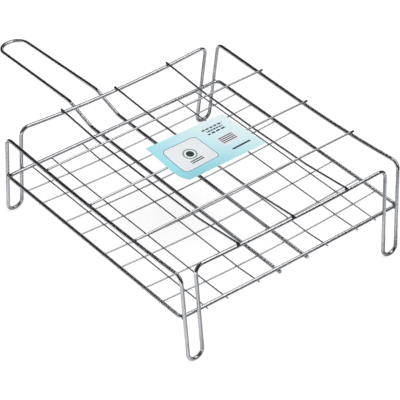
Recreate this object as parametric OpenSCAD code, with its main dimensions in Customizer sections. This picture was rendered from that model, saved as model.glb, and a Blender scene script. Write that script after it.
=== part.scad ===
// Wire barbecue grill on four looped legs, with a long wire handle, a fine cooking mesh,
// a coarse rack above it and a printed card on the rack.
// X runs from side to side, Y along the handle toward its tip, Z up from the ground.

/* [Ring] */
// Width of the ring between wire centres, from side to side
ring_width = 400; // [360:1:600]
// Length of the ring between wire centres, along the handle
ring_length = 411; // [380:1:600]
// Bend radius of the ring's corners, at the wire's centre
ring_corner = 8; // [6:0.5:20]
// Height of the ring's wire centre above the ground
ring_height = 75.5; // [60:0.5:150]
// Sag of the ring's front side at its middle
ring_front_sag = 2; // [0.5:0.1:5]

/* [Wires] */
// Diameter of the heavy wire in the ring, the legs and the handle
frame_wire = 5.5; // [4:0.1:7]
// Diameter of the upper rack's wires
rack_wire = 3.2; // [2.4:0.1:4.5]
// Diameter of the cooking mesh's wires
mesh_wire = 2.2; // [1.6:0.1:3]
// Depth to which two crossed wires melt into each other at a spot weld
weld_bite = 0.15; // [0.05:0.01:0.2]

/* [Legs] */
// Rise from the ring to the ends of the two side rails
side_rail_rise = 69.7; // [50:0.1:100]
// Rise from the ring to the ends of the front and back rails
end_rail_rise = 75.9; // [60:0.1:110]
// Distance by which the side rails lie inside the ring's sides
rail_inset = 1.1; // [0:0.1:6]
// Distance between the two limbs of a leg
leg_width = 25; // [20:0.5:40]
// Bend radius at a leg's foot, at the wire's centre
foot_bend = 11.7; // [8:0.1:12]
// Bend radius where a limb turns into a rail, at the wire's centre
rail_bend = 12; // [8:0.5:18]
// Lean of the four legs away from the ring's middle, in degrees
leg_splay = 5.4; // [0:0.1:10]
// Lean of the two left legs toward the right ones, in degrees
left_toe_in = 0.8; // [0:0.1:4]
// Lean of the two right legs toward the left ones, in degrees
right_toe_in = 2.8; // [0:0.1:4]
// Sag of the front rail at its middle
front_rail_sag = 3.6; // [0.5:0.1:9]
// Sag of the back rail at its middle
back_rail_sag = 7; // [0.5:0.1:9]
// Sag of the left rail at its middle
left_rail_sag = 4; // [0.5:0.1:9]
// Sag of the right rail below its back end
right_rail_sag = 2.3; // [0.5:0.1:9]
// Distance of the right rail's low corner in front of the rail's middle
right_rail_low = 80; // [0:1:120]
// Height of the right rail's front end above its back end
right_front_lift = 6.8; // [0:0.1:12]

/* [Rack] */
// Distance from the ring's side to the nearest long wire of the rack
rack_side_gap = 101; // [70:1:130]
// Distance from the ring's front or back to the nearest cross wire of the rack
rack_end_gap = 102; // [80:0.5:140]
// Distance by which the rack's cross wires reach past the side rails
rack_cross_overhang = 2; // [0:0.5:10]
// Distance by which the rack's long wires reach past the end rails
rack_long_overhang = 0.5; // [0:0.5:10]
// Bend radius where a long wire of the rack turns up to an end rail
rack_bend = 200; // [40:10:260]

/* [Mesh] */
// Distance from the ring's front or back to the middle of the nearest pair of cross wires
mesh_end_gap = 63.6; // [50:0.2:90]
// Distance between the two cross wires of a pair
mesh_pair_gap = 37.7; // [20:0.1:50]
// Distance by which the cross wires lie nearer the handle than the ring's middle
mesh_shift = 2.4; // [0:0.1:6]
// Distance from the grill's middle to the innermost long wires
mesh_long_inner = 63.8; // [45:0.1:80]
// Distance from the ring's side to the outermost long wires
mesh_side_gap = 43.8; // [30:0.1:55]
// Distance between the two outer long wires on each side
mesh_long_gap = 35.4; // [20:0.1:45]
// Distance by which the long wires reach past the ring's front and back
mesh_overhang = 0.8; // [0:0.1:5]
// Distance by which the cross wires reach past the middle of the ring's wire
mesh_cross_reach = 1; // [0.5:0.1:5]
// Bend radius where a long wire of the mesh turns up to the ring
mesh_bend = 60; // [20:5:70]

/* [Handle] */
// Distance between the two rods of the handle under the ring
handle_spread = 51.2; // [40:0.2:80]
// Distance between the two rods where they turn into the handle's tip
handle_tip_width = 46; // [36:0.5:60]
// Distance from the ring's back to the handle's tip
handle_reach = 289; // [200:1:500]
// Distance from the ring's back to the foot of the handle's step
handle_step_start = 28.2; // [20:0.2:60]
// Length of the handle's step, along the handle
handle_step_length = 57.4; // [40:0.2:90]
// Rise of the handle over its step
handle_step_rise = 18.2; // [10:0.2:30]
// Drop of the handle from its step to its tip
handle_tip_drop = 7.4; // [0:0.2:15]
// Bend radius of the handle's step, at the wire's centre
handle_bend = 28; // [15:1:60]
// Distance by which the handle's rods reach past the ring's front
handle_overhang = 1; // [0:0.5:10]

/* [Card] */
// Width of the printed card, from side to side
card_width = 146; // [90:1:180]
// Depth of the printed card, measured along its curl
card_depth = 98; // [60:1:150]
// Thickness of the printed card
card_thickness = 0.4; // [0.2:0.1:1]
// Radius of the card's curl
card_curl_radius = 200; // [100:1:400]
// Distance of the card's middle to the right of the grill's middle
card_shift_x = 10; // [0:0.5:20]
// Distance of the card's middle in front of the grill's middle
card_shift_y = -0.5; // [-20:0.5:20]
// Turn of the card on the rack, in degrees
card_turn = 2; // [-5:0.5:5]
// Gap between the card and the rack wire under it
card_gap = 0.2; // [0.1:0.1:0.5]

/* [Hidden] */

// Steps round a wire, and the length of one step along a bend.
round_steps = 32;
arc_step = 12;

// A bend is a hair thicker than the straights beside it, and each straight ends inside its bend.
bend_swell = 0.02;
bend_overlap = 0.1;

// The slightest turn that still gets a bend, in degrees, and the least run that a bend takes on either side.
least_turn = 0.03;
least_setback = 1;

// Share of a sagging wire's shorter run that its arc takes.
arc_share = 0.8;

// Share of a loop's width that the radius of its bends may take.
loop_share = 0.47;

// A direction that rises more steeply than this takes its side from the x axis.
steep = 0.9;

// Ring, rails and legs.
ring_x = ring_width / 2;
ring_y = ring_length / 2;
side_z = ring_height + side_rail_rise;
right_front_z = side_z + right_front_lift;
end_z = ring_height + end_rail_rise;
foot_z = (frame_wire + bend_swell) / 2;
rail_x = ring_x - rail_inset;
limb_bend = min(foot_bend, loop_share * leg_width);
leg_bends = [rail_bend, limb_bend, limb_bend, rail_bend];

// Each span is a sagging wire's two ends and the low corner between them, as places and heights.
ring_front = level_span(ring_x, ring_height, ring_front_sag);
front_rail = level_span(rail_x - leg_width, end_z, front_rail_sag);
back_rail = level_span(rail_x - leg_width, end_z, back_rail_sag);
left_rail = level_span(leg_y(side_z), side_z, left_rail_sag);
right_rail = [
    [-leg_y(right_front_z), right_front_z],
    [-right_rail_low, side_z - corner_depth(right_rail_sag)],
    [leg_y(side_z), side_z]
];

// Handle, whose rods lie against the underside of the ring's front and back.
handle_x = handle_spread / 2;
handle_z = ring_height - frame_wire + weld_bite;
rod_slope = (ring_height - span_height(ring_front, handle_x)) / ring_length;
step_y = ring_y + handle_step_start;
grip_z = handle_z + handle_step_rise;
tip_bend = loop_share * handle_tip_width;

// Mesh under the ring.
under_ring = (frame_wire + mesh_wire) / 2 - weld_bite;
mesh_end_z = ring_height - under_ring;
mesh_reach = frame_wire / 2 + mesh_overhang;
mesh_pairs = 4;
mesh_pair_pitch = 2 * (ring_y - mesh_end_gap) / (mesh_pairs - 1);
mesh_long_outer = ring_x - mesh_side_gap;
mesh_long_middle = mesh_long_outer - mesh_long_gap;
mesh_long_places = [
    -mesh_long_outer, -mesh_long_middle, -mesh_long_inner,
    mesh_long_inner, mesh_long_middle, mesh_long_outer
];

// Rack on top of the rails.
rack_wires = 3;
rack_middle = (rack_wires + 1) / 2;
rack_long_pitch = 2 * (ring_x - rack_side_gap) / (rack_wires - 1);
rack_cross_pitch = 2 * (ring_y - rack_end_gap) / (rack_wires - 1);
rail_seat = (frame_wire + rack_wire) / 2 - weld_bite;

// Distance from the last crossing to the bend of a long wire, in the mesh and in the rack.
mesh_margin = 8;
rack_margin = 16;

// Steps round a full turn of the card's curl.
card_steps = 360;

function unit(v) = v / norm(v);

// Depth of the low corner that gives a level span its sag.
function corner_depth(sag) = sag / (1 - arc_share / 2);

// A span between two ends at one height, with its low corner in the middle.
function level_span(reach, height, sag) =
    [[-reach, height], [0, height - corner_depth(sag)], [reach, height]];

// Slope of the run between two corners of a span.
function slope(from, to) = (to[1] - from[1]) / (to[0] - from[0]);

// Length of each run that the arc at a span's low corner takes.
function arc_run(span) = arc_share * min(span[1][0] - span[0][0], span[2][0] - span[1][0]);

// Radius of the arc at a span's low corner.
function arc_radius(span) =
    arc_run(span) / tan((atan(slope(span[1], span[2])) - atan(slope(span[0], span[1]))) / 2);

// Height of a sagging wire at a place.
function span_height(span, place) =
    let (
        before = slope(span[0], span[1]),
        after = slope(span[1], span[2]),
        offset = place - span[1][0],
        run = arc_run(span),
        inside = max(0, run - abs(offset))
    )
    span[1][1] + offset * (offset < 0 ? before : after) + (after - before) * inside * inside / (4 * run);

// Distance of a leg's plane from the grill's middle at a height: the limbs lean on the ring's outside.
function leg_y(z) = ring_y + frame_wire / cos(leg_splay) - weld_bite - (z - ring_height) * tan(leg_splay);

// Distance of a leg's outer limb from the grill's middle at a height, below its side rail's end.
function leg_x(z, rail_z, toe_in) = rail_x + (z - rail_z) * tan(toe_in);

// Corners of one leg's path, from its end rail down round the foot and up to its side rail.
function leg_corners(side, end, toe_in, rail_z) = [
    [side * (leg_x(end_z, rail_z, toe_in) - leg_width), end * leg_y(end_z), end_z],
    [side * (leg_x(foot_z, rail_z, toe_in) - leg_width), end * leg_y(foot_z), foot_z],
    [side * leg_x(foot_z, rail_z, toe_in), end * leg_y(foot_z), foot_z],
    [side * rail_x, end * leg_y(rail_z), rail_z]
];

function reversed(list) = [for (k = [len(list) - 1 : -1 : 0]) list[k]];

// Height of the handle's rods under the ring at a place along the handle.
function rod_z(y) = handle_z + rod_slope * (y - ring_y);

// Place of a cross wire of the mesh, counted from the handle's side.
function mesh_cross_y(index) =
    let (pair = floor((index - 1) / 2), second = (index - 1) % 2)
    mesh_shift + mesh_pair_pitch * ((mesh_pairs - 1) / 2 - pair) + mesh_pair_gap * (1 / 2 - second);

// Span of a cross wire of the mesh: it bows down by as much as brings it under the handle's rods.
function mesh_cross_span(index) =
    let (
        rod_depth = ring_height - rod_z(mesh_cross_y(index)),
        depth_share = 1 - arc_share / 2 - pow(handle_x / ring_x, 2) / (2 * arc_share)
    )
    [[-ring_x, mesh_end_z], [0, mesh_end_z - rod_depth / depth_share], [ring_x, mesh_end_z]];

// Point on a long wire of the mesh where it lies on a cross wire.
function mesh_crossing(x, index) =
    [x, mesh_cross_y(index), span_height(mesh_cross_span(index), x) + mesh_wire - weld_bite];

// Place of a cross wire of the rack, counted from the handle's side.
function rack_cross_y(index) = rack_cross_pitch * (rack_middle - index);

// Height of a rack cross wire at a distance from the middle, where it rests on the two side rails.
function rack_cross_z(index, x) =
    let (
        left = span_height(left_rail, rack_cross_y(index)) + rail_seat,
        right = span_height(right_rail, rack_cross_y(index)) + rail_seat
    )
    (left + right) / 2 + (right - left) * x / (2 * rail_x);

// Point on a long wire of the rack where it lies under a cross wire.
function rack_crossing(x, index) =
    [x, rack_cross_y(index), rack_cross_z(index, x) - rack_wire + weld_bite];

// The point on the line through two points that lies a distance past the second one.
function past(from, to, distance) = to + distance * unit(to - from);

// Matrix of a frame given by its three axes.
function axes(x, y, z) = [
    [x[0], y[0], z[0], 0],
    [x[1], y[1], z[1], 0],
    [x[2], y[2], z[2], 0]
];

// Angle by which a path turns at its middle one of three points, in degrees.
function turn(before, corner, after) = acos(min(1, unit(corner - before) * unit(after - corner)));

// A list's item, counted round the list when the index passes either end.
function item(list, index) = list[(index + len(list)) % len(list)];

// A straight piece of wire between two points.
module straight(from, to, wire) {
    travel = unit(to - from);
    side = unit(cross(abs(travel[2]) > steep ? [1, 0, 0] : [0, 0, 1], travel));
    translate(from)
        multmatrix(axes(side, cross(travel, side), travel))
            cylinder(d = wire, h = norm(to - from), $fn = round_steps);
}

// The bend that rounds one corner of a wire's path.
module bend(before, corner, after, radius, wire) {
    arriving = unit(corner - before);
    leaving = unit(after - corner);
    angle = turn(before, corner, after);
    outward = unit(cos(angle) * arriving - leaving);
    translate(corner - radius * tan(angle / 2) * arriving)
        multmatrix(axes(outward, arriving, cross(outward, arriving)))
            translate([-radius, 0, 0])
                rotate_extrude(angle = angle, $fn = max(round_steps, ceil(2 * PI * radius / arc_step)))
                    translate([radius, 0])
                        circle(d = wire + bend_swell, $fn = round_steps);
}

// A wire along a path of corners, where an open wire has no bend at its two ends.
// A corner at which the path hardly turns is left out, and a slight turn gets a wider bend.
module bent_wire(corners, radii, wire, closed = false) {
    function is_end(list, k) = !closed && (k % len(list) == 0 || k % len(list) == len(list) - 1);
    function turn_at(list, k) = turn(item(list, k - 1), list[k], item(list, k + 1));
    kept = [
        for (k = [0 : len(corners) - 1])
            if (is_end(corners, k) || turn_at(corners, k) > least_turn) k
    ];
    path = [for (k = kept) corners[k]];
    half_turns = [for (k = [0 : len(path) - 1]) turn_at(path, k) / 2];
    bends = [for (k = [0 : len(path) - 1]) max(radii[kept[k]], least_setback / tan(half_turns[k]))];
    setbacks = [
        for (k = [0 : len(path) - 1])
            is_end(path, k) ? 0 : bends[k] * tan(half_turns[k]) - bend_overlap
    ];
    for (k = [0 : closed ? len(path) - 1 : len(path) - 2]) {
        from = path[k];
        to = item(path, k + 1);
        travel = unit(to - from);
        straight(from + setbacks[k] * travel, to - item(setbacks, k + 1) * travel, wire);
        if (!is_end(path, k + 1))
            bend(from, to, item(path, k + 2), item(bends, k + 1), wire);
    }
}

module ring_frame() {
    corners = [
        [-ring_x, -ring_y, ring_height],
        [0, -ring_y, ring_front[1][1]],
        [ring_x, -ring_y, ring_height],
        [ring_x, ring_y, ring_height],
        [-ring_x, ring_y, ring_height]
    ];
    color("silver")
        bent_wire(
            corners,
            [ring_corner, arc_radius(ring_front), ring_corner, ring_corner, ring_corner],
            frame_wire,
            closed = true
        );
}

// The four rails and the four legs are one wire, bent and closed.
module leg_frame() {
    path = concat(
        [[0, -leg_y(end_z), front_rail[1][1]]],
        leg_corners(1, -1, right_toe_in, right_front_z),
        [[rail_x, right_rail[1][0], right_rail[1][1]]],
        reversed(leg_corners(1, 1, right_toe_in, side_z)),
        [[0, leg_y(end_z), back_rail[1][1]]],
        leg_corners(-1, 1, left_toe_in, side_z),
        [[-rail_x, 0, left_rail[1][1]]],
        reversed(leg_corners(-1, -1, left_toe_in, side_z))
    );
    radii = concat(
        [arc_radius(front_rail)], leg_bends,
        [arc_radius(right_rail)], leg_bends,
        [arc_radius(back_rail)], leg_bends,
        [arc_radius(left_rail)], leg_bends
    );
    color("silver")
        bent_wire(path, radii, frame_wire, closed = true);
}

// Two rods welded under the ring, stepped up behind it and joined by a round tip.
module handle() {
    front_y = -(ring_y + frame_wire / 2 + handle_overhang);
    right_rod = [
        [handle_x, front_y, rod_z(front_y)],
        [handle_x, step_y, rod_z(step_y)],
        [handle_x, step_y + handle_step_length, grip_z],
        [handle_tip_width / 2, ring_y + handle_reach, grip_z - handle_tip_drop]
    ];
    left_rod = [for (p = right_rod) [-p[0], p[1], p[2]]];
    color("silver")
        bent_wire(
            concat(right_rod, reversed(left_rod)),
            [0, handle_bend, handle_bend, tip_bend, tip_bend, handle_bend, handle_bend, 0],
            frame_wire
        );
}

// One wire from side to side, bowed down under the handle's rods.
module mesh_cross_wire(index) {
    span = mesh_cross_span(index);
    y = mesh_cross_y(index);
    middle = [0, y, span[1][1]];
    left = past(middle, [-ring_x, y, mesh_end_z], mesh_cross_reach);
    right = past(middle, [ring_x, y, mesh_end_z], mesh_cross_reach);
    color("gainsboro")
        bent_wire([left, middle, right], [0, arc_radius(span), 0], mesh_wire);
}

// One wire from front to back, lying on the cross wires and welded under the ring at both ends.
module mesh_long_wire(index) {
    x = mesh_long_places[index - 1];
    first = mesh_crossing(x, 1);
    last = mesh_crossing(x, 2 * mesh_pairs);
    back_bend = past(last, first, mesh_margin);
    front_bend = past(first, last, mesh_margin);
    front = past(front_bend, [x, -ring_y, span_height(ring_front, x) - under_ring], mesh_reach);
    back = past(back_bend, [x, ring_y, mesh_end_z], mesh_reach);
    color("gainsboro")
        bent_wire([front, front_bend, back_bend, back], [0, mesh_bend, mesh_bend, 0], mesh_wire);
}

// One straight wire from side to side on top of the side rails.
module rack_cross_wire(index) {
    y = rack_cross_y(index);
    left = [-rail_x, y, rack_cross_z(index, -rail_x)];
    right = [rail_x, y, rack_cross_z(index, rail_x)];
    reach = frame_wire / 2 + rack_cross_overhang;
    color("lightgray")
        straight(past(right, left, reach), past(left, right, reach), rack_wire);
}

// One wire from front to back, on top of the end rails and under the three cross wires.
module rack_long_wire(index) {
    x = rack_long_pitch * (index - rack_middle);
    middle = rack_crossing(x, rack_middle);
    front_bend = past(middle, rack_crossing(x, rack_wires), rack_margin);
    back_bend = past(middle, rack_crossing(x, 1), rack_margin);
    front_seat = [x, -leg_y(end_z), span_height(front_rail, x) + rail_seat];
    back_seat = [x, leg_y(end_z), span_height(back_rail, x) + rail_seat];
    reach = frame_wire / 2 + rack_long_overhang;
    path = [
        past(front_bend, front_seat, reach), front_bend, middle,
        back_bend, past(back_bend, back_seat, reach)
    ];
    color("lightgray")
        bent_wire(path, [0, rack_bend, rack_bend, rack_bend, 0], rack_wire);
}

// The printed card lies on the middle cross wire of the rack, and its front and back edges curl up.
module product_card() {
    seat_z = rack_cross_z(rack_middle, card_shift_x) + rack_wire / 2 + card_gap;
    tilt = atan((rack_cross_z(rack_middle, rail_x) - rack_cross_z(rack_middle, -rail_x)) / (2 * rail_x));
    degrees_per_mm = 180 / (PI * card_curl_radius);
    front_edge = -90 - (card_depth / 2 + card_shift_y) * degrees_per_mm;
    color("lightskyblue")
        translate([card_shift_x, rack_cross_y(rack_middle), seat_z])
            rotate([0, -tilt, card_turn])
                translate([0, 0, card_curl_radius])
                    rotate([90, 0, 90])
                        rotate([0, 0, front_edge])
                            rotate_extrude(angle = card_depth * degrees_per_mm, $fn = card_steps)
                                translate([card_curl_radius - card_thickness, -card_width / 2])
                                    square([card_thickness, card_width]);
}

ring_frame();
leg_frame();
handle();
for (k = [1 : 2 * mesh_pairs])
    mesh_cross_wire(k);
for (k = [1 : len(mesh_long_places)])
    mesh_long_wire(k);
for (k = [1 : rack_wires])
    rack_cross_wire(k);
for (k = [1 : rack_wires])
    rack_long_wire(k);
product_card();
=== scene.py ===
"""Dresses the wire barbecue grill: plated wire, spot welds, a printed card and a plain studio.

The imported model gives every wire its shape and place. This script gives the wires their plated
finish, adds the weld nuggets where wires cross, lays a printed card on the rack, and sets a pale
floor, soft light and a camera around them. All lengths are in metres.
"""

from __future__ import annotations

import logging
import math
import random
from dataclasses import dataclass
from enum import Enum
from typing import Any, Iterable, Iterator, Optional, Union

import bpy
from mathutils import Matrix, Vector
from mathutils.bvhtree import BVHTree


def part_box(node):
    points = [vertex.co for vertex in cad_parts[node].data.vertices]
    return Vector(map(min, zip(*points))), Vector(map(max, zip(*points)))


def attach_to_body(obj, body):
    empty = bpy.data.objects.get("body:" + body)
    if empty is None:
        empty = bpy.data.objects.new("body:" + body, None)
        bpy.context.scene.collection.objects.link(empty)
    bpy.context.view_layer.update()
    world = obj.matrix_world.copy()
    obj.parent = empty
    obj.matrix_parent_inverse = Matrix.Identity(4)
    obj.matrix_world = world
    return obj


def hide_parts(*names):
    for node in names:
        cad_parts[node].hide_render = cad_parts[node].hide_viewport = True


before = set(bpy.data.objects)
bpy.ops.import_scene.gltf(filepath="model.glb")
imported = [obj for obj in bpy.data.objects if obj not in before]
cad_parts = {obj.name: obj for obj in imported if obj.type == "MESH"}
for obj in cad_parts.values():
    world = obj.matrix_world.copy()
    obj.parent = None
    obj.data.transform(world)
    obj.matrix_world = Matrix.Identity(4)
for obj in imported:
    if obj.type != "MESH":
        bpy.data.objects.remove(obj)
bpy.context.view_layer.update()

LOG = logging.getLogger("grill")
MM = 0.001
BODY = "root"
# How far inside the ring's outermost face the measuring rays pass
GRAZE = 0.2 * MM

Number = Union[int, float]
Value = Union["Signal", Number]
# Links or plain values for a node's inputs, by name or place, and the node's own settings
Inputs = dict[Union[int, str], Any]
Settings = dict[str, Any]
Colour = tuple[float, float, float]
Pair = tuple[float, float]
Names = tuple[str, ...]

BLACK: Colour = (0.0, 0.0, 0.0)
WHITE: Colour = (1.0, 1.0, 1.0)


class Slot(Enum):
    """The material slots of the record."""

    FRAME = "frame_wire"
    MESH = "mesh_wire"
    RACK = "rack_wire"
    CARD = "card_print"


class Facing(Enum):
    """The direction in which two welded wires are pressed together."""

    UP = "up"
    ALONG = "along"


# ---- Shader expressions ----


class Signal:
    """A number or a colour on its way through a shader, which can stand in an expression."""

    def __init__(self, graph: Graph, socket: bpy.types.NodeSocket) -> None:
        """Wraps one output socket.

        Args:
            graph: the graph that new nodes go into.
            socket: the output that carries the value.
        """
        self.graph = graph
        self.socket = socket

    def math(self, operation: str, *others: Value) -> Signal:
        """Adds a Math node that starts from this value.

        Args:
            operation: the Math node's operation.
            others: the node's further values, links or plain numbers.

        Returns:
            The node's result.
        """
        values: Inputs = dict(enumerate((self, *others)))
        return self.graph.add("ShaderNodeMath", {"operation": operation}, values)

    def __add__(self, other: Value) -> Signal:
        """This value plus another."""
        return self.math("ADD", other)

    def __radd__(self, other: Number) -> Signal:
        """A number plus this value."""
        return self.math("ADD", other)

    def __sub__(self, other: Value) -> Signal:
        """This value less another."""
        return self.math("SUBTRACT", other)

    def __rsub__(self, other: Number) -> Signal:
        """A number less this value."""
        return (self * -1.0) + other

    def __mul__(self, other: Value) -> Signal:
        """This value times another."""
        return self.math("MULTIPLY", other)

    def __rmul__(self, other: Number) -> Signal:
        """A number times this value."""
        return self.math("MULTIPLY", other)

    def __abs__(self) -> Signal:
        """This value without its sign."""
        return self.math("ABSOLUTE")

    def root(self) -> Signal:
        """The square root of this value."""
        return self.math("SQRT")

    def from_middle(self, pitch: Number) -> Signal:
        """Distance from the middle of this value's own step of a pitch, as a share of the pitch."""
        return abs((self * (1.0 / pitch)).math("FRACT") - 0.5)

    def most(self, other: Value) -> Signal:
        """The larger of this value and another."""
        return self.math("MAXIMUM", other)

    def rise(self, low: Number, high: Number) -> Signal:
        """A smooth step.

        Args:
            low: where the step starts, at 0.
            high: where the step ends, at 1. It may lie below low, for a step down.

        Returns:
            A value from 0 to 1.
        """
        settings = {"interpolation_type": "SMOOTHSTEP"}
        if low < high:
            return self.graph.add("ShaderNodeMapRange", settings, {"Value": self, 1: low, 2: high})
        values = {"Value": self, 1: high, 2: low, 3: 1.0, 4: 0.0}
        return self.graph.add("ShaderNodeMapRange", settings, values)


class Graph:
    """The node graph of a material or of the world."""

    def __init__(self, tree: bpy.types.NodeTree) -> None:
        """Takes over a node tree and empties it.

        Args:
            tree: the tree to fill.
        """
        self.tree = tree
        self.tree.nodes.clear()

    def make(
        self, kind: str, settings: Optional[Settings] = None, values: Optional[Inputs] = None
    ) -> bpy.types.Node:
        """Adds one node.

        Args:
            kind: the node's type.
            settings: the node's own settings, which are set first.
            values: links or plain values for its inputs, by name or place.

        Returns:
            The new node.
        """
        node = self.tree.nodes.new(kind)
        for name, value in (settings or {}).items():
            setattr(node, name, value)
        for key, value in (values or {}).items():
            if isinstance(value, Signal):
                self.tree.links.new(value.socket, node.inputs[key])
            else:
                node.inputs[key].default_value = value
        return node

    def add(
        self,
        kind: str,
        settings: Optional[Settings] = None,
        values: Optional[Inputs] = None,
        output: Union[int, str] = 0,
    ) -> Signal:
        """Adds one node and takes one of its outputs.

        Args:
            kind: the node's type.
            settings: the node's own settings.
            values: links or plain values for its inputs, by name or place.
            output: the output to take.

        Returns:
            That output.
        """
        return Signal(self, self.make(kind, settings, values).outputs[output])

    def split(self, vector: Signal) -> tuple[Signal, Signal, Signal]:
        """The three coordinates of a vector."""
        node = self.make("ShaderNodeSeparateXYZ", None, {0: vector})
        return tuple(Signal(self, output) for output in node.outputs)

    def mix(self, factor: Value, low: Union[Signal, Colour], high: Union[Signal, Colour]) -> Signal:
        """Blends two colours.

        Args:
            factor: 0 for the first colour and 1 for the second.
            low: the first colour, a link or three numbers.
            high: the second colour.

        Returns:
            The blend.
        """
        ends = [c if isinstance(c, Signal) else (*c, 1.0) for c in (low, high)]
        values = {0: factor, 6: ends[0], 7: ends[1]}
        return self.add("ShaderNodeMix", {"data_type": "RGBA"}, values, 2)

    def noise(self, place: Signal, scale: Number, detail: Number = 2.0) -> Signal:
        """Smooth noise from 0 to 1.

        Args:
            place: the coordinates to read.
            scale: how many blotches go to a metre.
            detail: how many finer layers are added.

        Returns:
            The noise.
        """
        return self.add("ShaderNodeTexNoise", None, {"Vector": place, "Scale": scale, "Detail": detail})

    def place(self) -> Signal:
        """The place on the object, in metres."""
        return self.add("ShaderNodeTexCoord", None, None, "Object")


def new_material(name: str) -> tuple[bpy.types.Material, Graph]:
    """Makes an empty material.

    Args:
        name: the material's name.

    Returns:
        The material and its graph.
    """
    material = bpy.data.materials.new(name)
    material.use_nodes = True
    return material, Graph(material.node_tree)


def finish_material(graph: Graph, values: Inputs) -> None:
    """Adds the main shader and the output to a material.

    Args:
        graph: the material's graph.
        values: links or plain values for the main shader.
    """
    shader = graph.add("ShaderNodeBsdfPrincipled", None, values)
    graph.make("ShaderNodeOutputMaterial", None, {0: shader})


# ---- Finishes ----


@dataclass(frozen=True)
class PlatedWire:
    """Bright plating on drawn steel wire.

    Attributes:
        name: the material's name.
        bright: the colour of clean plating.
        dull: the colour of the faint blotches in it.
        gloss: roughness of clean plating.
        haze: roughness that the blotches add.
        blotches: how many blotches go to a metre.
        blotch_edge: levels of noise at which a blotch starts and is full.
        dulling: how much of the dull colour a full blotch has.
        fineness: how many drawing marks go to a blotch.
        ripple: height of the drawing marks.
        dent_count: how many dents go to a metre.
        dents: height of the soft, shallow dents.
        burnt: the colour of the painted shade that darkens the ends of the wires.
        ends: how far such ends lie from the middle, across and along, or nothing if there are none.
        end_shade_length: how far the painted shade reaches from an end.
    """

    name: str
    bright: Colour = (0.80, 0.81, 0.83)
    dull: Colour = (0.62, 0.63, 0.66)
    gloss: float = 0.015
    haze: float = 0.05
    blotches: float = 160.0
    blotch_edge: Pair = (0.42, 0.72)
    dulling: float = 0.6
    fineness: float = 9.0
    ripple: float = 0.006 * MM
    dent_count: float = 330.0
    dents: float = 0.3 * MM
    burnt: Colour = (0.10, 0.10, 0.11)
    ends: Optional[Pair] = None
    end_shade_length: float = 8.0 * MM

    def end_shade(self, graph: Graph, place: Signal) -> Value:
        """How far painted shade darkens the wire near its ends.

        Args:
            graph: the material's graph.
            place: place on the wire.

        Returns:
            1 at the wires' ends and 0 away from them.
        """
        if self.ends is None:
            return 0.0
        x, y, _ = graph.split(place)
        across, along = self.ends
        fade = self.end_shade_length / 2.0
        near_x = abs(x).rise(across - self.end_shade_length, across - fade)
        near_y = abs(y).rise(along - self.end_shade_length, along - fade)
        return near_x.most(near_y)

    def material(self) -> bpy.types.Material:
        """Builds the material.

        Returns:
            The plated finish.
        """
        material, graph = new_material(self.name)
        place = graph.place()
        blotch = graph.noise(place, self.blotches, 3.0).rise(*self.blotch_edge)
        grain = graph.noise(place, self.blotches * self.fineness)
        dent = graph.noise(place, self.dent_count, 1.0)
        height = grain * self.ripple + dent * self.dents
        bump = graph.add("ShaderNodeBump", None, {"Strength": 1.0, "Distance": 1.0, "Height": height})
        plating = graph.mix(blotch * self.dulling, self.bright, self.dull)
        values = {
            # Painted shade darkens the wire near its ends.
            "Base Color": graph.mix(self.end_shade(graph, place), plating, self.burnt),
            "Metallic": 1.0,
            "Roughness": blotch * self.haze + self.gloss,
            "Normal": bump,
        }
        finish_material(graph, values)
        return material


@dataclass(frozen=True)
class WeldMetal:
    """The dark, lumpy metal of a spot weld under the plating.

    Attributes:
        name: the material's name.
        pale: the colour of clean weld metal.
        burnt: the colour of scorched weld metal.
        scorches: how many scorches go to a metre.
        scorch_edge: levels of noise at which a scorch starts and is full.
        gloss: roughness of clean weld metal.
        haze: roughness that a scorch adds.
        pits: how many pits go to a metre.
        pit_depth: how deep the pits are.
        pit_share: how much of that depth shows.
    """

    name: str = "spot_weld"
    pale: Colour = (0.52, 0.52, 0.53)
    burnt: Colour = (0.16, 0.15, 0.15)
    scorches: float = 420.0
    scorch_edge: Pair = (0.35, 0.62)
    gloss: float = 0.34
    haze: float = 0.2
    pits: float = 1500.0
    pit_depth: float = 0.1 * MM
    pit_share: float = 0.5

    def material(self) -> bpy.types.Material:
        """Builds the material.

        Returns:
            The weld's finish.
        """
        material, graph = new_material(self.name)
        place = graph.place()
        scorch = graph.noise(place, self.scorches, 3.0).rise(*self.scorch_edge)
        pits = graph.noise(place, self.pits)
        relief = {"Strength": self.pit_share, "Distance": self.pit_depth, "Height": pits}
        bump = graph.add("ShaderNodeBump", None, relief)
        values = {
            "Base Color": graph.mix(scorch, self.pale, self.burnt),
            "Metallic": 1.0,
            "Roughness": scorch * self.haze + self.gloss,
            "Normal": bump,
        }
        finish_material(graph, values)
        return material


@dataclass(frozen=True)
class Box:
    """A rounded box on the print, in millimetres from the card's left front corner.

    Attributes:
        across: its middle across the card.
        along: its middle along the card.
        half_width: half of its size across.
        half_depth: half of its size along.
        corner: radius of its corners.
    """

    across: float
    along: float
    half_width: float
    half_depth: float
    corner: float

    def outside(self, u: Signal, v: Signal) -> Signal:
        """Distance outside the box, in metres.

        Args:
            u: distance across the card in metres.
            v: distance along the card in metres.

        Returns:
            The distance, below 0 inside.
        """
        across = (abs(u - self.across * MM) - (self.half_width - self.corner) * MM).most(0.0)
        along = (abs(v - self.along * MM) - (self.half_depth - self.corner) * MM).most(0.0)
        return (across * across + along * along).root() - self.corner * MM


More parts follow.
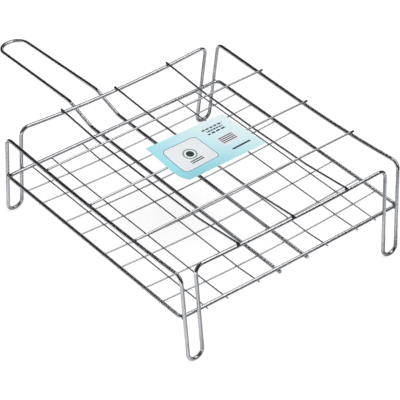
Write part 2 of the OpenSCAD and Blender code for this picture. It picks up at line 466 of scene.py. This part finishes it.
@dataclass(frozen=True)
class Badge:
    """The round badge in the print's panel, in millimetres from the card's left front corner.

    Attributes:
        across: its middle across the card.
        along: its middle along the card.
        disc: radius of its dark disc.
        ring: radius of the middle of its paler ring.
        ring_edges: how far from that radius the ring starts and is full.
        lines: the bars below it.
    """

    across: float = 45.0
    along: float = 52.0
    disc: float = 6.0
    ring: float = 10.0
    ring_edges: Pair = (1.4, 0.9)
    lines: tuple[Box, ...] = (Box(45.0, 37.5, 11.0, 0.9, 0.7), Box(45.0, 33.5, 11.0, 0.9, 0.7))


@dataclass(frozen=True)
class CardPrint:
    """Generic print on coated card: a cool gradient, an outlined panel with a badge, and bars.

    Attributes:
        width: the card's width in metres.
        depth: the card's depth in metres.
        deep: colour of the gradient at the left front corner.
        pale: colour of the gradient at the right back corner.
        slope: how fast the gradient grows over the width and over the depth.
        span: where the gradient starts and ends.
        line: colour of the panel's outline.
        ink: colour of the badge and the bars.
        leaf: colour of the badge's ring.
        paper: colour of the panel's inside and of the card where it is not printed.
        fibre: colour of the fibres in bare card.
        fibres: how many fibres go to a metre.
        fibre_edge: levels of noise at which a fibre starts and is full.
        soft: how far the edge of a printed shape takes to fade.
        outline: thickness of the panel's outline.
        coat: roughness of the printed side's coat.
        coat_index: the coat's refractive index.
        matt: roughness of bare card.
        panel: the panel that holds the badge.
        badge: the badge.
        block: the small pale block.
        stripes: the striped middle of that block.
        stripe_pitch: distance between its stripes in millimetres.
        stripe_edges: where a stripe starts and is full, in shares of the pitch from a gap's middle.
        long_bar: the long bar.
        rows: the broken rows, each with the pitch of its breaks in millimetres.
        break_edges: where a mark ends and is full, in shares of the pitch from its middle.
    """

    width: float
    depth: float
    deep: Colour = (0.34, 0.80, 0.90)
    pale: Colour = (0.84, 0.98, 1.0)
    slope: Pair = (0.75, 0.38)
    span: Pair = (0.09, 1.09)
    line: Colour = (0.06, 0.08, 0.22)
    ink: Colour = (0.02, 0.04, 0.05)
    leaf: Colour = (0.25, 0.33, 0.30)
    paper: Colour = (0.88, 0.90, 0.93)
    fibre: Colour = (0.82, 0.84, 0.86)
    fibres: float = 900.0
    fibre_edge: Pair = (0.3, 0.7)
    soft: float = 0.35 * MM
    outline: float = 1.0 * MM
    coat: float = 0.42
    coat_index: float = 1.45
    matt: float = 0.7
    panel: Box = Box(45.0, 50.0, 31.0, 28.0, 7.0)
    badge: Badge = Badge()
    block: Box = Box(112.0, 45.0, 16.0, 11.0, 3.0)
    stripes: Box = Box(112.0, 45.0, 13.0, 8.0, 0.5)
    stripe_pitch: float = 4.0
    stripe_edges: Pair = (0.22, 0.28)
    long_bar: Box = Box(116.0, 20.0, 17.0, 1.6, 1.4)
    rows: tuple[tuple[Box, float], ...] = (
        (Box(112.0, 81.0, 19.0, 1.4, 0.6), 7.6),
        (Box(112.0, 75.0, 15.0, 1.4, 0.6), 5.2),
        (Box(112.0, 69.0, 17.0, 1.4, 0.6), 9.1),
    )
    break_edges: Pair = (0.40, 0.36)

    def fill(self, distance: Signal, reach: float = 0.0) -> Signal:
        """1 where a distance is below a reach in metres and 0 elsewhere."""
        return distance.rise(reach + self.soft, reach)

    def bars(self, u: Signal, v: Signal) -> Signal:
        """The printed bars: three broken rows and one long bar.

        Args:
            u: distance across the card in metres.
            v: distance along the card in metres.

        Returns:
            1 on the bars and 0 elsewhere.
        """
        marks = self.fill(self.long_bar.outside(u, v))
        for row, pitch in self.rows:
            whole = u.from_middle(pitch * MM).rise(*self.break_edges)
            marks = marks.most(self.fill(row.outside(u, v)) * whole)
        return marks

    def striped(self, u: Signal, v: Signal) -> Signal:
        """The stripes of the small pale block: 1 on a stripe and 0 elsewhere."""
        inside = self.fill(self.stripes.outside(u, v))
        return inside * v.from_middle(self.stripe_pitch * MM).rise(*self.stripe_edges)

    def marked(self, u: Signal, v: Signal) -> tuple[Signal, Signal]:
        """The panel's badge.

        Args:
            u: distance across the card in metres.
            v: distance along the card in metres.

        Returns:
            Where its dark disc and bars are, and where its paler ring is.
        """
        badge = self.badge
        across = u - badge.across * MM
        along = v - badge.along * MM
        reach = (across * across + along * along).root()
        disc = self.fill(reach, badge.disc * MM)
        for line in badge.lines:
            disc = disc.most(self.fill(line.outside(u, v)))
        outer, inner = badge.ring_edges
        return disc, abs(reach - badge.ring * MM).rise(outer * MM, inner * MM)

    def material(self) -> bpy.types.Material:
        """Builds the printed side's material.

        Returns:
            The print.
        """
        material, graph = new_material("card_print")
        across, along, _ = graph.split(graph.add("ShaderNodeUVMap", {"uv_map": "UVMap"}))
        u = across * self.width
        v = along * self.depth
        shade = (across * self.slope[0] + along * self.slope[1]).rise(*self.span)
        colour = graph.mix(shade, self.deep, self.pale)
        panel = self.panel.outside(u, v)
        disc, ring = self.marked(u, v)
        layers = (
            (self.fill(panel, self.outline), self.line),
            (self.fill(panel), self.paper),
            (ring, self.leaf),
            (disc, self.ink),
            (self.fill(self.block.outside(u, v)), self.paper),
            (self.striped(u, v), self.ink),
            (self.bars(u, v), self.ink),
        )
        for where, tint in layers:
            colour = graph.mix(where, colour, tint)
        values = {"Base Color": colour, "Metallic": 0.0, "Roughness": self.coat, "IOR": self.coat_index}
        finish_material(graph, values)
        return material

    def bare(self) -> bpy.types.Material:
        """Builds the material of the card's edges and underside.

        Returns:
            The bare card.
        """
        material, graph = new_material("bare_card")
        fibre = graph.noise(graph.place(), self.fibres, 3.0).rise(*self.fibre_edge)
        colour = graph.mix(fibre, self.paper, self.fibre)
        finish_material(graph, {"Base Color": colour, "Metallic": 0.0, "Roughness": self.matt})
        return material


# ---- Modelling helpers ----


def deselect_all() -> None:
    """Leaves object mode with nothing selected."""
    if bpy.context.mode != "OBJECT":
        bpy.ops.object.mode_set(mode="OBJECT")
    bpy.ops.object.select_all(action="DESELECT")


def settle(piece: bpy.types.Object, name: str) -> bpy.types.Object:
    """Names a new piece and moves its place into its mesh.

    Args:
        piece: the new object.
        name: its name.

    Returns:
        The same object.
    """
    deselect_all()
    piece.name = name
    piece.data.name = name
    piece.select_set(True)
    bpy.context.view_layer.objects.active = piece
    bpy.ops.object.transform_apply(location=True, rotation=True, scale=True)
    return piece


def dress(piece: bpy.types.Object, *finishes: bpy.types.Material) -> None:
    """Gives a piece its finishes, of which the first covers all of it at first.

    Args:
        piece: the object.
        finishes: its materials.
    """
    piece.data.materials.clear()
    for finish in finishes:
        piece.data.materials.append(finish)


def attach(piece: bpy.types.Object, slot: Slot) -> None:
    """Joins a piece to the grill.

    Args:
        piece: the object.
        slot: not used.
    """
    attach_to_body(piece, BODY)
    LOG.info("%s: %d faces", piece.name, len(piece.data.polygons))


class Probe:
    """Finds the surface of a packed wire."""

    def __init__(self, node: str) -> None:
        """Prepares one node.

        Args:
            node: the node's name.
        """
        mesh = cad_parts[node].data
        corners = [v.co.copy() for v in mesh.vertices]
        self.tree = BVHTree.FromPolygons(corners, [tuple(p.vertices) for p in mesh.polygons])
        self.low, self.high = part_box(node)

    def top(self, x: float, y: float) -> float:
        """Height of the wire's top over a place.

        Args:
            x: the place's x.
            y: the place's y.

        Returns:
            The height.
        """
        hit = self.tree.ray_cast(Vector((x, y, 1.0)), Vector((0.0, 0.0, -1.0)))[0]
        return hit.z

    def bottom(self, x: float, y: float) -> float:
        """Height of the wire's underside over a place."""
        hit = self.tree.ray_cast(Vector((x, y, -1.0)), Vector((0.0, 0.0, 1.0)))[0]
        return hit.z

    def across(self, start: Vector, direction: Vector) -> float:
        """The x at which a ray first meets the wire.

        Args:
            start: where the ray starts.
            direction: where it goes.

        Returns:
            The x of the hit.
        """
        return self.tree.ray_cast(start, direction)[0].x

    @property
    def middle(self) -> Vector:
        """The middle of the wire's box."""
        return (self.low + self.high) / 2.0


# ---- Sub-assemblies ----


def numbered(name: str, count: int) -> Names:
    """Names of nodes that are counted from 1."""
    return tuple(f"{name}_{k + 1}" for k in range(count))


@dataclass(frozen=True)
class Wires:
    """All the bent wires of the grill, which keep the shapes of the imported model.

    Attributes:
        heavy: the nodes of the frame.
        mesh_cross: the nodes of the mesh's wires that run across.
        mesh_long: those that run along.
        rack_cross: the nodes of the rack's wires that run across.
        rack_long: those that run along.
    """

    heavy: Names = ("ring_frame", "leg_frame", "handle")
    mesh_cross: Names = numbered("mesh_cross_wire", 8)
    mesh_long: Names = numbered("mesh_long_wire", 6)
    rack_cross: Names = numbered("rack_cross_wire", 3)
    rack_long: Names = numbered("rack_long_wire", 3)

    def dress(self) -> None:
        """Gives each wire its plated finish."""
        heavy = PlatedWire("plated_heavy_wire").material()
        # Where the rack wires end, for the painted shade that darkens their ends.
        ends = (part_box("rack_cross_wire_1")[1].x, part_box("rack_long_wire_1")[1].y)
        thin = PlatedWire(
            "plated_rack_wire", blotches=220.0, ripple=0.004 * MM, dents=0.1 * MM, ends=ends
        ).material()
        fine = PlatedWire(
            "plated_mesh_wire",
            bright=(0.72, 0.73, 0.75),
            blotches=300.0,
            ripple=0.003 * MM,
            dents=0.1 * MM,
        ).material()
        rack = self.rack_cross + self.rack_long
        mesh = self.mesh_cross + self.mesh_long
        for names, material in ((self.heavy, heavy), (rack, thin), (mesh, fine)):
            for name in names:
                dress(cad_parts[name], material)
                LOG.info("%s: %s", name, material.name)


@dataclass(frozen=True)
class Layout:
    """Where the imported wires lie.

    Attributes:
        heavy: radius of the heavy wire.
        ring: how far the ring's middle line lies from the origin, across, along and up.
        rod_x: how far the middle lines of the handle's rods lie from the plane x = 0.
        rail_x: the same for the side rails.
    """

    heavy: float
    ring: Vector
    rod_x: float
    rail_x: float

    @classmethod
    def measured(cls) -> Layout:
        """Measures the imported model, with rays that graze the ring's right side.

        Returns:
            The layout.
        """
        ring = Probe("ring_frame")
        edge = ring.high.x - GRAZE
        level = (ring.top(edge, 0.0) + ring.bottom(edge, 0.0)) / 2.0
        inner = ring.across(Vector((0.0, 0.0, level)), Vector((1.0, 0.0, 0.0)))
        heavy = (ring.high.x - inner) / 2.0
        middle = Vector((ring.high.x - heavy, ring.high.y - heavy, level))
        return cls(heavy, middle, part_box("handle")[1].x - heavy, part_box("leg_frame")[1].x - heavy)


@dataclass(frozen=True)
class Weld:
    """One spot weld.

    Attributes:
        place: its middle.
        facing: how the wires are pressed together.
        radius: its radius.
    """

    place: Vector
    facing: Facing
    radius: float


@dataclass(frozen=True)
class Bead:
    """A weld nugget's shape: a flattened, uneven bead squeezed out between two wires.

    Attributes:
        flatness: its thickness over its width.
        unevenness: how far its surface wanders, as a share of its radius.
        kinds: how many differently shaped beads are modelled.
        seed: start of the random sequences that shape and turn the beads.
    """

    flatness: float = 0.62
    unevenness: float = 0.16
    kinds: int = 4
    seed: int = 7

    def model(self, kind: int) -> bpy.types.Object:
        """Models one bead of radius 1 about the origin.

        Args:
            kind: which of the differently shaped beads it is.

        Returns:
            The bead.
        """
        deselect_all()
        bpy.ops.mesh.primitive_ico_sphere_add(subdivisions=2, radius=1.0, location=(0.0, 0.0, 0.0))
        bead = bpy.context.active_object
        bpy.ops.object.mode_set(mode="EDIT")
        bpy.ops.mesh.select_all(action="SELECT")
        bpy.ops.transform.vertex_random(offset=self.unevenness, normal=1.0, seed=self.seed + kind)
        bpy.ops.transform.resize(value=(1.0, 1.0, self.flatness))
        bpy.ops.object.mode_set(mode="OBJECT")
        round_off = bead.modifiers.new("round_off", "SUBSURF")
        round_off.levels = 1
        bpy.ops.object.modifier_apply(modifier=round_off.name)
        return bead

    def copy(self, bead: bpy.types.Object, weld: Weld, angle: float) -> bpy.types.Object:
        """Copies a bead to a weld.

        Args:
            bead: the bead of radius 1.
            weld: where the copy goes.
            angle: how far the copy is turned about the direction in which it is pressed.

        Returns:
            The copy, with its own mesh.
        """
        nugget = bead.copy()
        nugget.data = bead.data.copy()
        turn = Matrix.Rotation(angle, 4, "Z")
        if weld.facing is Facing.ALONG:
            turn = Matrix.Rotation(math.pi / 2.0, 4, "X") @ turn
        nugget.matrix_world = Matrix.Translation(weld.place) @ turn @ Matrix.Scale(weld.radius, 4)
        bpy.context.scene.collection.objects.link(nugget)
        return nugget

    def group(self, name: str, welds: Iterable[Weld], slot: Slot, finish: bpy.types.Material) -> None:
        """Models a group of nuggets as one piece.

        Args:
            name: the piece's name.
            welds: the group's welds.
            slot: the record's slot that it is finished from.
            finish: the nuggets' material.
        """
        spread = random.Random(self.seed)
        beads = [self.model(kind) for kind in range(self.kinds)]
        nuggets = [
            self.copy(spread.choice(beads), weld, spread.uniform(0.0, math.tau)) for weld in welds
        ]
        for bead in beads:
            bpy.data.objects.remove(bead)
        deselect_all()
        for nugget in nuggets:
            nugget.select_set(True)
        bpy.context.view_layer.objects.active = nuggets[0]
        bpy.ops.object.join()
        piece = settle(bpy.context.active_object, name)
        bpy.ops.object.shade_smooth()
        dress(piece, finish)
        attach(piece, slot)


@dataclass(frozen=True)
class Welds:
    """The spot welds where wires cross.

    Attributes:
        wires: the grill's wires.
        layout: where the wires lie.
        light: width of a weld between two thin wires over the width of the thinner one.
        firm: the same between a thin wire and a heavy one.
        strong: the same between two heavy wires.
    """

    wires: Wires
    layout: Layout
    light: float = 1.2
    firm: float = 1.45
    strong: float = 1.15

    def mesh_welds(self) -> Iterator[Weld]:
        """Finds the welds of the cooking mesh, to itself, to the handle's rods and to the ring.

        Yields:
            Each weld.
        """
        cross = [Probe(node) for node in self.wires.mesh_cross]
        long = [Probe(node) for node in self.wires.mesh_long]
        fine = (long[0].high.x - long[0].low.x) / 2.0
        ring_x, ring_y, _ = self.layout.ring
        for wire in cross:
            y = wire.middle.y
            for other in long:
                x = other.middle.x
                yield Weld(Vector((x, y, wire.top(x, y))), Facing.UP, self.light * fine)
            for x in (-ring_x, -self.layout.rod_x, self.layout.rod_x, ring_x):
                yield Weld(Vector((x, y, wire.top(x, y))), Facing.UP, self.firm * fine)
        for wire in long:
            x = wire.middle.x
            for y in (-ring_y, ring_y):
                yield Weld(Vector((x, y, wire.top(x, y))), Facing.UP, self.firm * fine)

    def rack_welds(self) -> Iterator[Weld]:
        """Finds the welds of the rack, to itself and to the rails.

        Yields:
            Each weld.
        """
        cross = [Probe(node) for node in self.wires.rack_cross]
        long = [Probe(node) for node in self.wires.rack_long]
        thin = (long[0].high.x - long[0].low.x) / 2.0
        heavy, rail_x = self.layout.heavy, self.layout.rail_x
        for wire in cross:
            y = wire.middle.y
            for other in long:
                x = other.middle.x
                yield Weld(Vector((x, y, wire.bottom(x, y))), Facing.UP, self.light * thin)
            for x in (-rail_x, rail_x):
                yield Weld(Vector((x, y, wire.bottom(x, y))), Facing.UP, self.firm * thin)
        for wire in long:
            x = wire.middle.x
            for y in (wire.low.y + heavy, wire.high.y - heavy):
                yield Weld(Vector((x, y, wire.bottom(x, y))), Facing.UP, self.firm * thin)

    def frame_welds(self) -> Iterator[Weld]:
        """Finds the welds of the handle's rods and of the legs' limbs to the ring.

        Yields:
            Each weld.
        """
        heavy, rod_x = self.layout.heavy, self.layout.rod_x
        ring_y, ring_z = self.layout.ring.y, self.layout.ring.z
        handle, legs = Probe("handle"), Probe("leg_frame")
        radius = self.strong * heavy
        for x in (-rod_x, rod_x):
            for y in (-ring_y, ring_y):
                yield Weld(Vector((x, y, handle.top(x, y))), Facing.UP, radius)
        for end in (-1.0, 1.0):
            y = end * (ring_y + heavy)
            limb_y = end * (ring_y + 2.0 * heavy)
            for side in (-1.0, 1.0):
                outer = legs.across(Vector((side, limb_y, ring_z)), Vector((-side, 0.0, 0.0)))
                inner = legs.across(Vector((0.0, limb_y, ring_z)), Vector((side, 0.0, 0.0)))
                for x in (outer - side * heavy, inner + side * heavy):
                    yield Weld(Vector((x, y, ring_z)), Facing.ALONG, radius)

    def build(self) -> None:
        """Models all the welds."""
        LOG.info("heavy wire: %.2f mm thick", 2.0 * self.layout.heavy / MM)
        finish = WeldMetal().material()
        bead = Bead()
        bead.group("mesh_weld_nuggets", self.mesh_welds(), Slot.MESH, finish)
        bead.group("rack_weld_nuggets", self.rack_welds(), Slot.RACK, finish)
        bead.group("frame_weld_nuggets", self.frame_welds(), Slot.FRAME, finish)


@dataclass(frozen=True)
class Card:
    """The printed card that lies on the rack, curled up at its left end.

    Attributes:
        width: its size from side to side.
        depth: its size from front to back.
        thickness: the card's thickness.
        turn: how far it is turned about its middle, in degrees.
        rest: height of its flat part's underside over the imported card's lowest point.
        lifts: how far its left back, left front, right front and right back corners are raised.
        sag: how far its left edge hangs below a straight line.
        sag_bias: how far towards the front the edge hangs lowest, where 1 is its middle.
        sag_fade: how fast the sag fades towards the right.
        columns: faces across.
        rows: faces along.
        stations: places along the card where its bend is set.
        crease: the least angle between two faces that shows as an edge, in degrees.
        upward: the least rise of a printed face's normal.
    """

    width: float = 146.0 * MM
    depth: float = 98.0 * MM
    thickness: float = 0.4 * MM
    turn: float = 2.0
    rest: float = 0.35 * MM
    lifts: tuple[float, float, float, float] = (6.2 * MM, 5.9 * MM, 1.4 * MM, 0.2 * MM)
    sag: float = 7.8 * MM
    sag_bias: float = 1.7
    sag_fade: float = 1.2
    columns: int = 36
    rows: int = 36
    stations: int = 9
    crease: float = 40.0
    upward: float = 0.5

    def height(self, across: float, along: float) -> float:
        """Height of the underside over its resting height.

        Args:
            across: 0 at the left edge and 1 at the right.
            along: 0 at the front edge and 1 at the back.

        Returns:
            The height.
        """
        left_back, left_front, right_front, right_back = self.lifts
        left = left_front + (left_back - left_front) * along
        right = right_front + (right_back - right_front) * along
        hang = self.sag * math.sin(math.pi * (1.0 - along) ** self.sag_bias)
        return left + (right - left) * across - hang * (1.0 - across) ** self.sag_fade

    def cage(self, place: Vector) -> bpy.types.Object:
        """Makes the cage that bends the flat sheet.

        Args:
            place: the middle of the sheet.

        Returns:
            The cage, with its points at the heights of the bent card.
        """
        deselect_all()
        turn = (0.0, 0.0, math.radians(self.turn))
        bpy.ops.object.add(type="LATTICE", location=place, rotation=turn)
        cage = bpy.context.active_object
        cage.scale = (self.width, self.depth, 1.0)
        cage.data.points_u = self.stations
        cage.data.points_v = self.stations
        cage.data.points_w = 1
        cage.data.interpolation_type_u = "KEY_CATMULL_ROM"
        cage.data.interpolation_type_v = "KEY_CATMULL_ROM"
        for point in cage.data.points:
            point.co_deform.z += self.height(point.co.x + 0.5, point.co.y + 0.5)
        return cage

    def build(self) -> None:
        """Models the card."""
        low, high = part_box("product_card")
        place = Vector(((low.x + high.x) / 2.0, (low.y + high.y) / 2.0, low.z + self.rest))
        cage = self.cage(place)
        deselect_all()
        bpy.ops.mesh.primitive_grid_add(
            x_subdivisions=self.columns,
            y_subdivisions=self.rows,
            size=1.0,
            location=place,
            rotation=(0.0, 0.0, math.radians(self.turn)),
            calc_uvs=True,
        )
        sheet = bpy.context.active_object
        sheet.scale = (self.width, self.depth, 1.0)
        bend = sheet.modifiers.new("bend", "LATTICE")
        bend.object = cage
        bpy.ops.object.modifier_apply(modifier=bend.name)
        thicken = sheet.modifiers.new("thickness", "SOLIDIFY")
        thicken.thickness = self.thickness
        thicken.offset = 1.0
        bpy.ops.object.modifier_apply(modifier=thicken.name)
        bpy.data.objects.remove(cage)
        piece = settle(sheet, "printed_card")
        bpy.ops.object.shade_smooth_by_angle(angle=math.radians(self.crease))
        paint = CardPrint(self.width, self.depth)
        dress(piece, paint.material(), paint.bare())
        for face in piece.data.polygons:
            face.material_index = int(face.normal.z < self.upward)
        attach(piece, Slot.CARD)
        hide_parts("product_card")


# ---- Studio ----


@dataclass(frozen=True)
class Viewpoint:
    """The camera: where it looks and from which side.

    Attributes:
        azimuth: how far it stands round from the front, in degrees.
        elevation: how far it stands above the horizon, in degrees.
        distance: its distance from what it looks at.
        target: what it looks at.
        lens: its focal length in millimetres.
        sensor: width of its sensor in millimetres.
        reach: how far it sees.
    """

    azimuth: float = -38.84
    elevation: float = 37.60
    distance: float = 3.0627
    target: tuple[float, float, float] = (-0.01538, -0.01709, 0.0755)
    lens: float = 188.93
    sensor: float = 36.0
    reach: float = 50.0

    def build(self) -> None:
        """Makes the camera and makes it the scene's."""
        turn, rise = math.radians(self.azimuth), math.radians(self.elevation)
        level = math.cos(rise)
        back = Vector((math.sin(turn) * level, -math.cos(turn) * level, math.sin(rise)))
        data = bpy.data.cameras.new("camera")
        data.lens = self.lens
        data.sensor_width = self.sensor
        data.clip_end = self.reach
        camera = bpy.data.objects.new("camera", data)
        camera.location = Vector(self.target) + back * self.distance
        camera.rotation_euler = back.to_track_quat("Z", "Y").to_euler()
        bpy.context.scene.collection.objects.link(camera)
        bpy.context.scene.camera = camera


def ray_kinds(graph: Graph) -> tuple[Signal, Signal]:
    """Tells what a ray is for.

    Args:
        graph: the graph that asks.

    Returns:
        1 for a ray from the camera and 0 for others, and the same for a mirrored ray.
    """
    path = graph.make("ShaderNodeLightPath")
    return Signal(graph, path.outputs["Is Camera Ray"]), Signal(graph, path.outputs["Is Glossy Ray"])


def studio_sheet(name: str, size: float, height: float) -> tuple[bpy.types.Object, Graph]:
    """Lays a level square sheet with a material of its own.

    Args:
        name: the name of the sheet and of its material.
        size: length of its sides.
        height: its height above the ground.

    Returns:
        The sheet and its material's empty graph.
    """
    deselect_all()
    bpy.ops.mesh.primitive_plane_add(size=size, location=(0.0, 0.0, height))
    sheet = bpy.context.active_object
    sheet.name = name
    material, graph = new_material(name)
    dress(sheet, material)
    return sheet, graph


@dataclass(frozen=True)
class Patch:
    """A soft-edged rectangle of light on the floor.

    Attributes:
        left: where it starts and is full, across.
        right: where it starts to fade and ends, across.
        near: where it starts and is full, along.
        far: where it starts to fade and ends, along.
        level: its brightness.
    """

    left: Pair
    right: Pair
    near: Pair
    far: Pair
    level: float = 1.0

    def light(self, x: Signal, y: Signal) -> Signal:
        """The patch's brightness.

        Args:
            x: place across.
            y: place along.

        Returns:
            Its level inside the patch and 0 outside.
        """
        across = x.rise(*self.left) * x.rise(*reversed(self.right))
        along = y.rise(*self.near) * y.rise(*reversed(self.far))
        return across * along * self.level


@dataclass(frozen=True)
class Floor:
    """The floor: white to the camera, with soft shadows, and patches of light to the wires.

    Attributes:
        size: length of its sides.
        shade: its own colour, which shadows fall on.
        lift: light that the camera sees on top of that, which makes it white.
        bright: the same as the wires mirror it, in a patch of light.
        rest: share of its colour that the wires mirror outside the patches.
        cool: the colour of the light in the patches.
        uneven: share of their light that the patches lack in blots.
        blot_count: how many blots go to a metre.
        blot_edge: levels of noise at which a blot ends and the light is full.
        patches: the light that the left legs mirror, the left rail, the handle, the right
            legs' inside and outside, and a weak one under the mesh.
    """

    size: float = 12.0
    shade: float = 0.5
    lift: float = 0.66
    bright: float = 0.38
    rest: float = 0.06
    cool: Colour = (0.90, 0.93, 1.0)
    uneven: float = 0.5
    blot_count: float = 40.0
    blot_edge: Pair = (0.38, 0.52)
    patches: tuple[Patch, ...] = (
        Patch((-1.2, -0.9), (-0.22, -0.12), (-0.9, -0.6), (0.22, 0.34)),
        Patch((-1.2, -0.9), (-0.45, -0.30), (-0.9, -0.6), (0.22, 0.34), 1.6),
        Patch((-1.2, -0.9), (0.00, 0.10), (0.40, 0.46), (0.8, 1.0), 1.6),
        Patch((0.00, 0.07), (0.10, 0.23), (-0.60, -0.45), (0.35, 0.50), 0.95),
        Patch((0.18, 0.26), (0.94, 1.02), (-0.55, -0.35), (0.35, 0.55)),
        Patch((-0.80, -0.40), (-0.05, 0.36), (-0.70, -0.25), (0.25, 0.70), 0.45),
    )

    def pool(self, x: Signal, y: Signal) -> Signal:
        """The brightest of the patches at a place.

        Args:
            x: place across.
            y: place along.

        Returns:
            Its brightness.
        """
        lights = [patch.light(x, y) for patch in self.patches]
        brightest = lights[0]
        for light in lights[1:]:
            brightest = brightest.most(light)
        return brightest

    def blots(self, graph: Graph, place: Signal) -> Signal:
        """The uneven brightness of the patches, in soft blots.

        Args:
            graph: the material's graph.
            place: place on the floor.

        Returns:
            1 in most places and less in the blots.
        """
        clear = graph.noise(place, self.blot_count).rise(*self.blot_edge)
        return clear * self.uneven + (1.0 - self.uneven)

    def build(self) -> None:
        """Makes the floor."""
        plane, graph = studio_sheet("studio_floor", self.size, 0.0)
        place = graph.place()
        x, y, _ = graph.split(place)
        pool = self.pool(x, y) * self.blots(graph, place)
        camera, mirror = ray_kinds(graph)
        shade = (1.0 - mirror) + mirror * (pool * (1.0 - self.rest) + self.rest)
        colour = graph.mix(shade * self.shade, BLACK, WHITE)
        surface = graph.add("ShaderNodeBsdfDiffuse", None, {"Color": colour})
        strength = camera * self.lift + mirror * pool * self.bright
        tint = graph.mix(mirror, WHITE, self.cool)
        glow = graph.add("ShaderNodeEmission", None, {"Color": tint, "Strength": strength})
        total = graph.add("ShaderNodeAddShader", None, {0: surface, 1: glow})
        graph.make("ShaderNodeOutputMaterial", None, {0: total})


@dataclass(frozen=True)
class Canopy:
    """A glowing cloth above the grill that only bright metal mirrors.

    It is bright above the front, right of the middle, and dark in the front left corner and towards
    the back and the right. A dim strip lies at the left, and a bright corner far off at the right
    back.

    Attributes:
        size: length of its sides.
        height: its height above the floor.
        bright: its brightness at its brightest.
        dark: its brightness where it is dark.
        right: where it starts and ends to darken towards the right.
        right_share: how bright it stays there.
        right_slant: how far that edge slants towards the right at the back.
        slant_from: y where that edge begins to slant.
        left: where it starts and ends to brighten from the left to the middle.
        left_share: how bright it is at the left.
        back: where it starts and ends to darken towards the back.
        back_slant: how far that edge swings back on both sides.
        front: where it starts and ends to brighten from the front.
        far_x: where its bright far corner starts and ends to brighten, across.
        far_y: the same along.
        far: brightness of that corner.
        hollow_x: where the dark front left corner starts and is full, across.
        hollow_y: the same along. Mostly bends and weld beads mirror this corner.
    """

    size: float = 8.0
    height: float = 1.0
    bright: float = 1.3
    dark: float = 0.026
    right: Pair = (0.38, 0.93)
    right_share: float = 0.03
    right_slant: float = 0.15
    slant_from: float = -0.9
    left: Pair = (-0.45, -0.05)
    left_share: float = 0.24
    back: Pair = (0.25, 0.54)
    back_slant: float = 0.36
    front: Pair = (-3.2, -1.4)
    far_x: Pair = (1.7, 2.2)
    far_y: Pair = (1.2, 1.7)
    far: float = 0.75
    hollow_x: Pair = (0.22, 0.05)
    hollow_y: Pair = (0.30, 0.10)

    def level(self, x: Signal, y: Signal) -> Signal:
        """The cloth's brightness.

        Args:
            x: place across.
            y: place along.

        Returns:
            The brightness.
        """
        slanted = x - (y - self.slant_from) * self.right_slant
        right = slanted.rise(*reversed(self.right)) * (1.0 - self.right_share) + self.right_share
        left = x.rise(*self.left) * (1.0 - self.left_share) + self.left_share
        back = (y - abs(x) * self.back_slant).rise(*reversed(self.back))
        hollow = x.rise(*self.hollow_x) * y.rise(*self.hollow_y)
        cloth = right * left * back * y.rise(*self.front) * (1.0 - hollow)
        corner = x.rise(*self.far_x) * y.rise(*self.far_y)
        return cloth * (self.bright - self.dark) + corner * self.far + self.dark

    def build(self) -> None:
        """Hangs the cloth."""
        cloth, graph = studio_sheet("studio_canopy", self.size, self.height)
        x, y, _ = graph.split(graph.place())
        light = {"Color": (*WHITE, 1.0), "Strength": self.level(x, y)}
        glow = graph.add("ShaderNodeEmission", None, light)
        graph.make("ShaderNodeOutputMaterial", None, {0: glow})
        cloth.visible_camera = False
        cloth.visible_diffuse = False
        cloth.visible_transmission = False
        cloth.visible_shadow = False


@dataclass(frozen=True)
class Room:
    """The room around the floor: white to the camera, dim to matt surfaces, dark to mirrors.

    Attributes:
        fill: its brightness as matt surfaces see it.
        dark: its brightness as the wires mirror it.
        glow: how much brighter the right back horizon is.
        glow_x: where that glow starts and is full, as the x of a direction.
        glow_y: the same for y.
    """

    fill: float = 0.62
    dark: float = 0.016
    glow: float = 0.75
    glow_x: Pair = (0.5, 0.72)
    glow_y: Pair = (0.3, 0.5)

    def build(self) -> None:
        """Makes the room and makes it the scene's."""
        world = bpy.data.worlds.new("studio")
        world.use_nodes = True
        bpy.context.scene.world = world
        graph = Graph(world.node_tree)
        x, y, _ = graph.split(graph.add("ShaderNodeTexCoord", None, None, "Generated"))
        horizon = x.rise(*self.glow_x) * y.rise(*self.glow_y) * self.glow + self.dark
        camera, mirror = ray_kinds(graph)
        level = camera + mirror * horizon + (1.0 - camera - mirror) * self.fill
        light = graph.add("ShaderNodeBackground", None, {"Color": (*WHITE, 1.0), "Strength": level})
        graph.make("ShaderNodeOutputWorld", None, {0: light})


@dataclass(frozen=True)
class KeyLamp:
    """One large soft lamp above the front, which no mirror shows.

    Attributes:
        size: length of its sides.
        energy: its power.
        place: where it hangs. It faces the origin.
    """

    size: float = 2.2
    energy: float = 30.0
    place: tuple[float, float, float] = (0.4, -1.1, 2.6)

    def build(self) -> None:
        """Hangs the lamp."""
        data = bpy.data.lights.new("key_lamp", "AREA")
        data.shape = "SQUARE"
        data.size = self.size
        data.energy = self.energy
        lamp = bpy.data.objects.new("key_lamp", data)
        lamp.location = self.place
        lamp.rotation_euler = Vector(self.place).to_track_quat("Z", "Y").to_euler()
        lamp.visible_glossy = False
        lamp.visible_camera = False
        bpy.context.scene.collection.objects.link(lamp)


@dataclass(frozen=True)
class Studio:
    """The camera, and the floor, canopy, room and lamp that stand around the grill."""

    view: Viewpoint = Viewpoint()
    floor: Floor = Floor()
    canopy: Canopy = Canopy()
    room: Room = Room()
    lamp: KeyLamp = KeyLamp()

    def build(self) -> None:
        """Makes the whole studio."""
        bpy.context.scene.view_settings.view_transform = "Standard"
        for part in (self.view, self.floor, self.canopy, self.room, self.lamp):
            part.build()


def main() -> None:
    """Dresses the grill and sets the studio around it."""
    logging.basicConfig(level=logging.INFO, format="%(name)s: %(message)s")
    Studio().build()
    wires = Wires()
    wires.dress()
    Welds(wires, Layout.measured()).build()
    Card().build()


if __name__ == "__main__":
    main()
